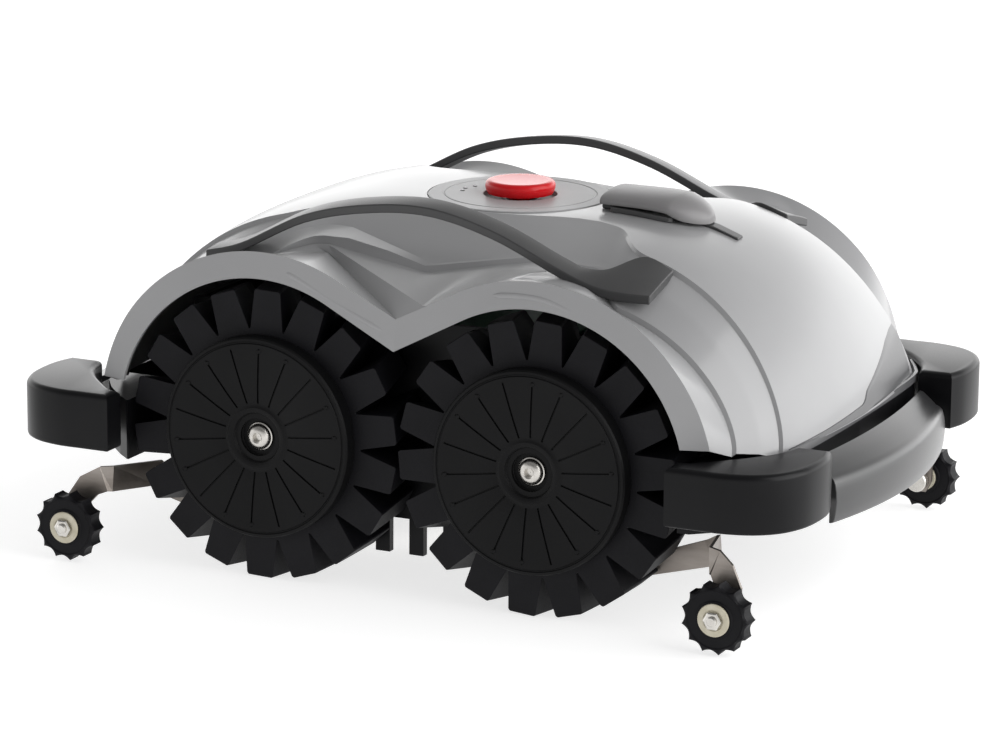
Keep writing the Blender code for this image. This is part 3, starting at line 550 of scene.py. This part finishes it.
COVER_BOSS = [(0.0, 157.9), (0.9, 157.8), (1.3, 157.3), (1.4, 156.0), (0.0, 156.0)]
GROOVES, GROOVE_DEPTH, GROOVE_START, GROOVE_END, BOSS_RADIUS = 18, 1.1, 20.3, 51.8, 50.6
GROOVE_SECTION = ((-1.0, 0.0), (-0.55, 0.0), (-0.4, 1.0), (0.4, 1.0), (0.55, 0.0), (1.0, 0.0))


def disc_mesh(end, side):
    """Wheel cover with a dished middle, a rim line and radial grooves, most with a boss at the end."""
    centre = (end * WHEEL_X, 0.0, WHEEL_Z)

    def spot(radius, height, angle):
        return (centre[0] + radius * MM * math.cos(angle), side * height * MM,
                centre[2] + radius * MM * math.sin(angle))

    rings, bosses = [], []
    for k in range(GROOVES):
        middle = math.tau * (k + 0.35) / GROOVES
        for offset, deep in GROOVE_SECTION:
            ring = []
            for radius, height in COVER_FACE:
                sunk = GROOVE_DEPTH * deep if GROOVE_START < radius < GROOVE_END else 0.0
                ring.append(spot(radius, height - sunk, middle + math.asin(offset / max(radius, 8.0))))
            rings.append(ring)
        for between in (0.25, 0.5, 0.75):
            angle = middle + math.tau / GROOVES * between
            rings.append([spot(radius, height, angle) for radius, height in COVER_FACE])
        if k % 3 != 2:
            foot = spot(BOSS_RADIUS, 0.0, middle)
            bosses.append(turned(in_metres(COVER_BOSS, side), foot, "Y", 10))
    rings.append(rings[0])
    parts = [loft(rings, closed_ends=False, closed_rings=False)]
    parts += [turned(in_metres(profile, side), centre, "Y", 64) for profile in (COVER_DRUM, COVER_HUB)]
    return merged(parts + bosses)


def bolt_mesh(end, side):
    """Button-head bolt with a round socket and washer flange."""
    centre = (end * WHEEL_X, 0.0, WHEEL_Z)
    dome = [(2.7, 154.9), (3.4, 155.3), (4.4, 155.1), (5.8, 154.2), (6.9, 152.9), (7.4, 151.6), (8.0, 151.3),
            (8.0, 150.3), (3.8, 150.3), (3.8, 128.6), (0.2, 128.6), (0.2, 152.6), (2.7, 152.6)]
    return turned(in_metres(dome, side), centre, "Y", 36)


for place, end, side in PLACES:
    body = "drive_wheel_" + place
    piece("paddle_tyre_" + place, *tyre_mesh(end, side), "rubber", body, ["tyre_" + place],
          bevel=0.5 * MM, angle=30.0)
    piece("wheel_cover_" + place, *disc_mesh(end, side), "cover", body, ["wheel_disc_" + place])
    piece("wheel_screw_" + place, *bolt_mesh(end, side), "steel", body, ["wheel_bolt_" + place])

# ---------------------------------------------------------------- guide wheels

GUIDE_X, GUIDE_Z = 202.0 * MM, 20.6 * MM
GUIDE_RADIUS, GUIDE_TEETH, TOOTH_STEPS, SCALLOP, CHAMFER = 20.0, 13, 10, 2.5, 0.8     # lengths in millimetres


def guide_mesh(end, side):
    """Small wheel with rounded scallops between its teeth, and stepped flat sides."""
    centre = (end * GUIDE_X, 0.0, GUIDE_Z)
    count = GUIDE_TEETH * TOOTH_STEPS
    rings = []
    for step in range(count):
        angle = math.tau * step / count
        outer = GUIDE_RADIUS - SCALLOP * math.sin(math.pi * (step % TOOTH_STEPS) / TOOTH_STEPS) ** 0.8
        profile = [(8.3, 158.6), (10.0, 158.6), (10.6, 159.4), (16.0, 159.4), (16.6, 158.8),
                   (outer - CHAMFER, 159.2), (outer, 159.9), (outer, 169.0), (outer - CHAMFER, 169.9),
                   (16.6, 170.2), (15.8, 169.6), (10.8, 169.6), (10.0, 170.4), (8.3, 170.4)]
        rings.append([(centre[0] + r * MM * math.cos(angle), side * y * MM,
                       centre[2] + r * MM * math.sin(angle)) for r, y in profile])
    rings.append(rings[0])
    return loft(rings, closed_ends=False)


def bush_mesh(end, side):
    """Light bush with a flange on its outer end."""
    centre = (end * GUIDE_X, 0.0, GUIDE_Z)
    profile = [(3.3, 156.6), (8.0, 156.6), (8.0, 170.3), (8.8, 170.5), (9.2, 170.9), (9.2, 171.5),
               (8.8, 171.9), (5.9, 171.9), (5.5, 171.2), (3.3, 171.2)]
    return turned(in_metres(profile, side), centre, "Y", 40)


def screw_mesh(end, side):
    """Axle screw with a nut outside: hexagon with a chamfered crown, and the screw's rounded end."""
    centre = (end * GUIDE_X, 0.0, GUIDE_Z)
    rod = [(0.0, 145.5), (5.8, 145.5), (6.4, 146.2), (6.4, 150.6), (3.0, 150.6), (3.0, 174.6), (2.2, 175.2),
           (0.0, 175.2)]
    parts = [turned(in_metres(rod, side), centre, "Y", 24)]
    rings = []
    for radius, y in ((3.0, 172.1), (5.2, 172.1), (5.4, 172.5), (5.4, 173.3), (4.6, 173.8), (3.0, 173.8)):
        rings.append([(centre[0] + radius * MM * math.cos(math.tau * k / 6), side * y * MM,
                       centre[2] + radius * MM * math.sin(math.tau * k / 6)) for k in range(6)])
    rings.append(rings[0])
    parts.append(loft(rings, closed_ends=False))
    return merged(parts)


for place, end, side in PLACES:
    body = "guide_" + place
    piece("toothed_wheel_" + place, *guide_mesh(end, side), "rubber", body, ["guide_wheel_" + place],
          smooth=35.0)
    piece("flanged_bush_" + place, *bush_mesh(end, side), "bush", body, ["guide_bush_" + place], smooth=35.0)
    piece("axle_screw_" + place, *screw_mesh(end, side), "steel", ROOT, ["guide_axle_" + place])

# ---------------------------------------------------------------- top pieces


def make_button():
    """Mushroom button: flat dished top, rounded rim and a tapered skirt."""
    profile = [(0.0, 213.2), (10.0, 213.25), (16.0, 213.45), (18.2, 213.5), (19.4, 213.0), (20.2, 212.0),
               (20.5, 210.6), (20.4, 209.0), (19.8, 207.2), (19.2, 206.0), (13.0, 206.0), (13.0, 210.4),
               (6.5, 210.4), (6.5, 194.0), (0.0, 194.0)]
    piece("button_cap", *turned(in_metres(profile), (PANEL_X, 0, 0), "Z", 72), "red", "button",
          ["stop_button"], smooth=40.0)


LAMPS = ((-33.0, -9.0), (-34.5, -2.0), (-32.0, 6.0), (-26.0, 14.0))     # from the keypad's middle


def make_keypad():
    """Round panel with a ring groove, and four small lamp windows near its rear edge."""
    profile = [(7.0, 201.0), (7.0, 202.4), (21.5, 202.4), (21.5, 205.1), (21.9, 205.4), (38.0, 205.6),
               (43.6, 205.5), (44.0, 205.0), (44.6, 205.0), (45.0, 205.5), (52.9, 205.4), (53.5, 205.0),
               (53.5, 201.0)]
    piece("keypad_disc", *turned(in_metres(profile), (PANEL_X, 0, 0), "Z", 96), "keypad", ROOT,
          ["keypad_panel"])
    dot = [(0.0, 205.95), (1.1, 205.9), (1.4, 205.7), (1.4, 205.2), (0.0, 205.2)]
    lamps = [turned(in_metres(dot), (PANEL_X + x * MM, y * MM, 0.0), "Z", 16) for x, y in LAMPS]
    piece("keypad_lamps", *merged(lamps), "lamp", ROOT)


COIL_RADIUS, COIL_WIRE, COIL_TURNS, COIL_STEPS, WIRE_SIDES = 9.4 * MM, 0.55 * MM, 3.5, 84, 8
COIL_LOW, COIL_HIGH, COIL_FOOT = 203.2 * MM, 209.5 * MM, 202.4 * MM


def make_coil():
    """Spring under the stop button, built at one fixed height."""
    rings = []
    for step in range(COIL_STEPS + 1):
        share = step / COIL_STEPS
        angle = math.tau * COIL_TURNS * share
        middle = Vector((PANEL_X, 0.0, blend(COIL_LOW, COIL_HIGH, share)))
        spoke = Vector((math.cos(angle), math.sin(angle), 0.0))
        ring = []
        for k in range(WIRE_SIDES):
            turn = math.tau * k / WIRE_SIDES
            p = middle + spoke * (COIL_RADIUS + COIL_WIRE * math.cos(turn))
            ring.append((p.x, p.y, p.z + COIL_WIRE * math.sin(turn)))
        rings.append(ring)
    coil = piece("button_coil", *loft(rings), "wire", ROOT, ["button_spring"], smooth=60.0)
    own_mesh(coil)


# Cap over the connector, in millimetres: x, half width, height of the edge, height of the ridge
CAP = [(66.0, 21.0, 210.0, 214.6), (67.2, 21.6, 209.7, 215.3), (80.0, 21.6, 209.5, 215.4),
       (96.0, 21.6, 208.9, 215.4), (106.0, 21.3, 207.7, 215.0), (110.5, 20.4, 205.6, 214.2),
       (115.0, 18.4, 203.6, 212.6), (119.5, 15.0, 202.2, 210.4), (123.5, 10.6, 201.2, 207.6),
       (126.2, 5.8, 200.7, 204.8), (127.0, 2.4, 200.6, 203.0)]
CAP_ARC, CAP_EDGE, CAP_RIM = 9, 1.1, 1.6     # steps from ridge to edge, height of the edge, width of the rim


def make_lid():
    """Arched cap: level ridge, nose bent down over the front, its lower rim turned in."""
    rings = []
    for x, half, edge, top in curve_through(CAP, 4):
        ring = []
        for k in range(-CAP_ARC, CAP_ARC + 1):
            turn = k / CAP_ARC * math.pi / 2
            ring.append((x * MM, half * math.sin(turn) * MM,
                         (edge + (top - edge) * max(math.cos(turn), 0.0) ** 0.8) * MM))
        ring += [(x * MM, y * MM, (edge - CAP_EDGE) * MM)
                 for y in (half * 0.985, half - CAP_RIM, CAP_RIM - half, -half * 0.985)]
        rings.append(ring)
    piece("hinged_cap", *loft(rings), "cap", "lid", ["connector_lid"], smooth=38.0)


# Block and tongue, in millimetres: x and half width
BLOCK = ((64.4, 14.6), (65.2, 15.4), (71.6, 15.4), (72.6, 21.4), (73.6, 22.2), (88.0, 22.0), (103.0, 21.4),
         (108.0, 20.0), (109.5, 18.0))
TONGUE = ((106.0, 4.8), (118.0, 4.7), (130.0, 4.4), (141.0, 4.2), (144.0, 3.8))
BLOCK_HEIGHT, TONGUE_HEIGHT, SHELL_GAP = 3.2 * MM, 1.9 * MM, 0.4 * MM


def make_connector():
    """Block under the cap, its narrow rear the hinge's seat, and the tongue that runs on in front of it."""
    block, tongue = [], []
    for x, half in BLOCK:
        top = shell_height(x * MM, 0.0) + BLOCK_HEIGHT
        low = shell_height(x * MM, half * MM) + SHELL_GAP
        block.append([(x * MM, -half * MM, low), (x * MM, half * MM, low), (x * MM, half * MM, top),
                      (x * MM, -half * MM, top)])
    for x, half in TONGUE:
        middle = shell_height(x * MM, 0.0)
        low, top = middle + SHELL_GAP, middle + TONGUE_HEIGHT
        tongue.append([(x * MM, -half * MM, low), (x * MM, half * MM, low), (x * MM, half * MM, top),
                       (x * MM, -half * MM, top)])
    piece("connector_block", *merged([loft(block), loft(tongue)]), "dark", ROOT, ["connector_base"],
          smooth=34.0, bevel=0.6 * MM, segments=3, angle=40.0)


# Carrying strap, in millimetres: x, height of its outer edge, y of its inner edge, rise across it
STRAP = [(-137.0, 180.0, 101.0, 2.0), (-114.0, 186.7, 102.3, 2.2), (-74.0, 206.6, 102.3, 2.2),
         (-35.0, 215.9, 102.3, 2.2), (4.5, 217.8, 102.3, 2.2), (44.0, 208.6, 102.3, 2.2),
         (83.0, 191.8, 102.3, 2.2), (104.0, 184.0, 101.0, 2.6), (121.0, 181.6, 84.0, 7.0),
         (139.0, 181.6, 85.0, 3.0)]
STRAP_OUTER, STRAP_STEPS = 118.0, 8
STRAP_THICK, STRAP_LEAST, STRAP_GAP, STRAP_CROWN = 5.0 * MM, 3.0 * MM, 0.6 * MM, 0.35 * MM


def make_strap(name, side, replaced):
    """Carrying strap: slightly crowned on top, thin rounded edges, feet that follow the shell."""
    rings = []
    for x, outer_top, inner, rise in curve_through(STRAP, 9):
        tops, bottoms = [], []
        inner_top = max((outer_top + rise) * MM, shell_height(x * MM, inner * MM) + STRAP_GAP + STRAP_LEAST)
        for step in range(STRAP_STEPS + 1):
            share = step / STRAP_STEPS
            y = blend(STRAP_OUTER, inner, share) * MM
            crown = STRAP_CROWN * (1.0 - (2.0 * share - 1.0) ** 2)
            top = blend(outer_top * MM, inner_top, share)
            bottom = max(top - STRAP_THICK, shell_height(x * MM, y) + STRAP_GAP)
            tops.append((x * MM, side * y, max(top, bottom + STRAP_LEAST) + crown))
            bottoms.append((x * MM, side * y, bottom))
        rings.append(tops + bottoms[::-1])
    piece(name, *loft(rings), "dark", ROOT, [replaced], smooth=34.0, bevel=0.8 * MM, segments=3, angle=40.0)


# Corner bumper in plan, in millimetres: x and y of its outer and inner side
CORNER_OUTER = [(172.0, 171.5), (190.0, 171.5), (206.0, 171.2), (222.0, 166.5), (234.0, 156.5),
                (241.0, 142.0), (243.5, 126.0), (243.0, 110.0), (239.5, 97.0)]
CORNER_INNER = [(219.0, 97.0), (214.0, 114.0), (203.0, 130.0), (189.0, 145.0), (179.0, 154.5), (172.0, 156.5)]


CORNER_BOTTOM, CORNER_TOP, CORNER_ROUND, CORNER_WALL = 69.0 * MM, 102.0 * MM, 3.6 * MM, 3.0 * MM
ROUND_STEPS = 7


def make_corner(end, side, place):
    """Corner bumper: smooth plan curve, broad rounded upper edge, hollow below."""
    outline = curve_through(CORNER_OUTER, 5) + curve_through(CORNER_INNER, 3)
    outline = [(end * x * MM, side * y * MM) for x, y in outline]
    bottom, top, wall = CORNER_BOTTOM, CORNER_TOP, CORNER_WALL
    levels = [(wall, top - wall), (wall, bottom + 0.6 * MM), (wall - 0.8 * MM, bottom), (1.0 * MM, bottom),
              (0.3 * MM, bottom + 0.5 * MM), (0.0, bottom + 1.5 * MM), (0.0, blend(bottom, top, 0.5)),
              (0.0, top - CORNER_ROUND)]
    for step in range(1, ROUND_STEPS + 1):
        turn = math.pi / 2 * step / ROUND_STEPS
        levels.append((CORNER_ROUND * (1.0 - math.cos(turn)), top - CORNER_ROUND * (1.0 - math.sin(turn))))
    rings = [[(x, y, z) for x, y in inward(outline, away)] for away, z in levels]
    piece("bumper_cap_" + place, *loft(rings), "black", ROOT, [place + "_corner"], smooth=40.0)


BAR_HALF, BAR_STEPS = 88.0, 22
BAR_OUTER, BAR_INNER, REAR_BAR_DEEPER = (250.0, 238.0), (229.0, 222.5), 6.0   # x at the middle and the ends


def make_middle_bumper(name, end, body, replaced):
    """Bowed bar: bulging outer face, a soft upper edge, top that rises towards the shell, hollow below."""
    rings = []
    for step in range(-BAR_STEPS, BAR_STEPS + 1):
        y = BAR_HALF * step / BAR_STEPS
        bow = (y / BAR_HALF) ** 2
        outer = blend(*BAR_OUTER, bow)
        inner = blend(*BAR_INNER, bow) - (REAR_BAR_DEEPER if end < 0 else 0.0)
        shape = [(outer - 2.2, 58.0), (outer - 0.6, 58.5), (outer + 0.2, 60.0), (outer + 1.0, 65.0),
                 (outer + 1.5, 70.5), (outer + 1.2, 76.0), (outer + 0.4, 80.5), (outer - 0.6, 82.8),
                 (outer - 2.2, 84.4), (outer - 4.6, 85.4), (blend(inner, outer, 0.5), 88.4),
                 (inner + 3.0, 92.2), (inner + 1.0, 92.8), (inner, 92.2), (inner, 72.0), (inner + 3.0, 72.0),
                 (inner + 3.0, 88.2),
                 (outer - 6.0, 81.5), (outer - 3.0, 79.0), (outer - 3.0, 58.0)]
        rings.append([(end * x * MM, y * MM, z * MM) for x, z in shape])
    piece(name, *loft(rings), "bumper", body, [replaced], smooth=32.0, bevel=0.5 * MM, angle=50.0)


# Line of the shell's lower edge round the nose, in millimetres: x and y
NOSE_LINE = [(203.0, -131.0), (212.4, -112.5), (217.0, -97.5), (219.3, -60.0), (220.2, 0.0), (219.3, 60.0),
             (217.0, 97.5), (212.4, 112.5), (203.0, 131.0)]


STRIP_LOW, STRIP_HIGH = 95.2, 99.5


def make_nose_strip():
    """Grey strip round the nose just below the shell's lower edge."""
    rings = []
    for x, y in curve_through(NOSE_LINE, 6):
        section_line = [(x, STRIP_LOW), (x, STRIP_HIGH), (x - 0.9, STRIP_HIGH + 0.4), (x - 2.0, STRIP_HIGH),
                        (x - 2.0, STRIP_LOW)]
        rings.append([(a * MM, y * MM, z * MM) for a, z in section_line])
    # The strip takes the darker silver that paints the shade below the bonnet's edge.
    piece("nose_strip", *loft(rings), "nose", ROOT, smooth=40.0)


# Upper edge of the nose band, in millimetres: y and height
BAND_LINE = [(-97.0, 99.6), (-50.0, 101.6), (-2.0, 104.6), (3.0, 106.6), (7.0, 110.4), (12.0, 112.2),
             (30.0, 117.8), (48.0, 123.2), (64.0, 128.0), (80.0, 131.0), (96.0, 132.0)]


BAND_FROM, BAND_TO, BAND_LOW, BAND_COLUMNS, BAND_LEVELS = -97.0, 96.0, 98.2, 97, 10
BAND_OVER, BAND_UNDER, BAND_SHUT = 0.55, -0.7, 0.6      # out from the skin, into it, and in at the ends


def make_nose_band():
    """Band laid over the lower edge of the bonnet, stepped up on the left half; its darker silver is painted
    shade on this lower band of the shell.
    """
    rings = []
    for column in range(BAND_COLUMNS):
        y = blend(BAND_FROM, BAND_TO, column / (BAND_COLUMNS - 1))
        top = along(BAND_LINE, y)[0]
        outer, under = [], []
        for level in range(BAND_LEVELS + 1):
            z = blend(BAND_LOW, top, level / BAND_LEVELS)
            spot = SKIN_TREE.ray_cast(Vector((0.4, y * MM, z * MM)), Vector((-1.0, 0.0, 0.0)))[0]
            lift = BAND_UNDER if level in (0, BAND_LEVELS) else BAND_OVER
            outer.append((spot.x + lift * MM, y * MM, z * MM))
            under.append((spot.x + BAND_UNDER * MM, y * MM, z * MM))
        rings.append(outer + under[::-1])
    for last in (0, -1):
        rings[last] = [(x - BAND_SHUT * MM, y, z) for x, y, z in rings[last]]
    piece("nose_band", *loft(rings), "nose", ROOT, smooth=45.0)


RIB_Y, RIB_HALF, RIB_HEIGHT, RIB_SLOPE = 150.75, 1.5, 0.75, 0.16
# Fender ribs, in millimetres: x and height
RIBS = {"rear": [(-68.0, 180.0), (-58.5, 176.5), (-33.7, 164.8), (-4.6, 152.4)],
        "front": [(60.2, 180.6), (76.5, 181.8), (92.6, 180.6), (112.3, 174.4)]}


def make_fender_rib(name, path, side):
    """Low half-round rib pressed into the fender, tapered at both ends."""
    rings = []
    points = curve_through(path, 8)
    last = len(points) - 1
    for k, (x, z) in enumerate(points):
        one, two = points[max(k - 1, 0)], points[min(k + 1, last)]
        way = Vector((two[0] - one[0], two[1] - one[1])).normalized()
        across = Vector((-way.y, way.x))
        swell = min(k, last - k, 3) / 3.0
        ring = []
        for step in range(9):
            turn = math.pi * step / 8
            wide = RIB_HALF * math.cos(turn) * (0.3 + 0.7 * swell)
            out = RIB_Y - wide * RIB_SLOPE + RIB_HEIGHT * math.sin(turn) * swell
            ring.append(((x + across.x * wide) * MM, side * out * MM, (z + across.y * wide) * MM))
        rings.append(ring)
    piece(name, *loft(rings), "silver", ROOT, smooth=50.0)


for side_name, side in SIDES:
    for end_name, path in RIBS.items():
        make_fender_rib("fender_rib_" + end_name + "_" + side_name, path, side)
make_nose_strip()
make_nose_band()
make_button()
make_keypad()
make_coil()
make_connector()
make_lid()
for side_name, side in SIDES:
    make_strap("carry_strap_" + side_name, side, side_name + "_handle")
for end_name, end in ENDS:
    make_middle_bumper("push_bar_" + end_name, end, end_name + "_bar", end_name + "_bumper")
for place, end, side in PLACES:
    make_corner(end, side, place)

# CAD nodes that show as they are: look and width of the bevel in millimetres
CARRIED = {
    "chassis": ("black", 0.6), "front_deck": ("black", 0.8), "rear_deck": ("black", 0.8),
    "battery_cover": ("black", 0.5), "battery": ("wrap", 1.0), "control_board": ("board", 0.2),
    "blade": ("steel", 0.2), "blade_hub": ("steel", 0.3), "blade_screw": ("black", 0.4),
    "blade_motor": ("motor", 0.4),
}
for place, end, side in PLACES:
    CARRIED["axle_" + place] = ("steel", 0.0)
    CARRIED["gearmotor_" + place] = ("motor", 0.4)
    CARRIED["guide_arm_" + place] = ("strip", 0.35)
for name, (look, width) in CARRIED.items():
    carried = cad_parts[name]
    carried.data.materials.clear()
    carried.data.materials.append(MATERIALS[look])
    if width:
        soften(carried, width * MM, 3, 28.0)

# ---------------------------------------------------------------- floor and light


FLOOR_HALF, FLOOR_Z = 20.0, -0.2 * MM
FLOOR_TONE, FLOOR_GLOW, FLOOR_ROUGH = (0.5, 0.5, 0.5, 1.0), 0.72, 0.8


def make_floor():
    """Broad pale floor with a little light of its own, so that it reads as white paper."""
    points = [(x * FLOOR_HALF, y * FLOOR_HALF, FLOOR_Z) for x, y in ((-1, -1), (1, -1), (1, 1), (-1, 1))]
    mesh = bpy.data.meshes.new("floor")
    mesh.from_pydata(points, [], [(0, 1, 2, 3)])
    mat = bpy.data.materials.new("floor")
    mat.use_nodes = True
    shader = mat.node_tree.nodes["Principled BSDF"]
    shader.inputs["Roughness"].default_value = FLOOR_ROUGH
    shader.inputs["Base Color"].default_value = FLOOR_TONE
    shader.inputs["Emission Color"].default_value = (1.0, 1.0, 1.0, 1.0)
    shader.inputs["Emission Strength"].default_value = FLOOR_GLOW
    mesh.materials.append(mat)
    floor = bpy.data.objects.new("floor", mesh)
    bpy.context.scene.collection.objects.link(floor)


def area_light(name, place, aim, size, power):
    """Rectangular soft light that faces the aim point."""
    data = bpy.data.lights.new(name, "AREA")
    data.shape = "RECTANGLE"
    data.size, data.size_y = size
    data.energy = power
    light = bpy.data.objects.new(name, data)
    light.location = place
    light.rotation_euler = (Vector(aim) - Vector(place)).to_track_quat("-Z", "Y").to_euler()
    bpy.context.scene.collection.objects.link(light)


# Brightness of the surround by height, from the horizon (0) to straight up (1), and its factor on the
# camera's side (negative y) and on the far side
SKY = ((0.0, 1.0), (0.28, 1.0), (0.42, 0.45), (0.58, 0.22), (1.0, 0.2))
SKY_NEAR, SKY_FAR = 0.8, 2.5


def make_world():
    """Studio surround: bright near the horizon, dim overhead, and dimmer on the camera's side."""
    world = bpy.data.worlds.new("studio")
    world.use_nodes = True
    tree = world.node_tree
    coords = tree.nodes.new("ShaderNodeTexCoord")
    split = tree.nodes.new("ShaderNodeSeparateXYZ")
    tree.links.new(coords.outputs["Generated"], split.inputs["Vector"])
    height = tree.nodes.new("ShaderNodeValToRGB")
    height.color_ramp.elements[0].position, height.color_ramp.elements[1].position = 0.0, 1.0
    for position, value in SKY[1:-1]:
        height.color_ramp.elements.new(position)
    for element, (position, value) in zip(height.color_ramp.elements, SKY):
        element.position = position
        element.color = (value, value, value, 1.0)
    tree.links.new(split.outputs["Z"], height.inputs["Fac"])
    around = tree.nodes.new("ShaderNodeMapRange")
    around.inputs["From Min"].default_value = -1.0
    around.inputs["To Min"].default_value = SKY_NEAR
    around.inputs["To Max"].default_value = SKY_FAR
    tree.links.new(split.outputs["Y"], around.inputs["Value"])
    product = tree.nodes.new("ShaderNodeMath")
    product.operation = "MULTIPLY"
    tree.links.new(height.outputs["Color"], product.inputs[0])
    tree.links.new(around.outputs["Result"], product.inputs[1])
    background = tree.nodes["Background"]
    background.inputs["Color"].default_value = (1.0, 1.0, 1.0, 1.0)
    tree.links.new(product.outputs["Value"], background.inputs["Strength"])
    bpy.context.scene.world = world


make_floor()
make_world()
area_light("key", (2.2, 0.2, 1.3), (0.1, 0.0, 0.1), (2.6, 2.4), 58.0)

bpy.context.view_layer.update()
bpy.context.scene.view_settings.view_transform = "Standard"
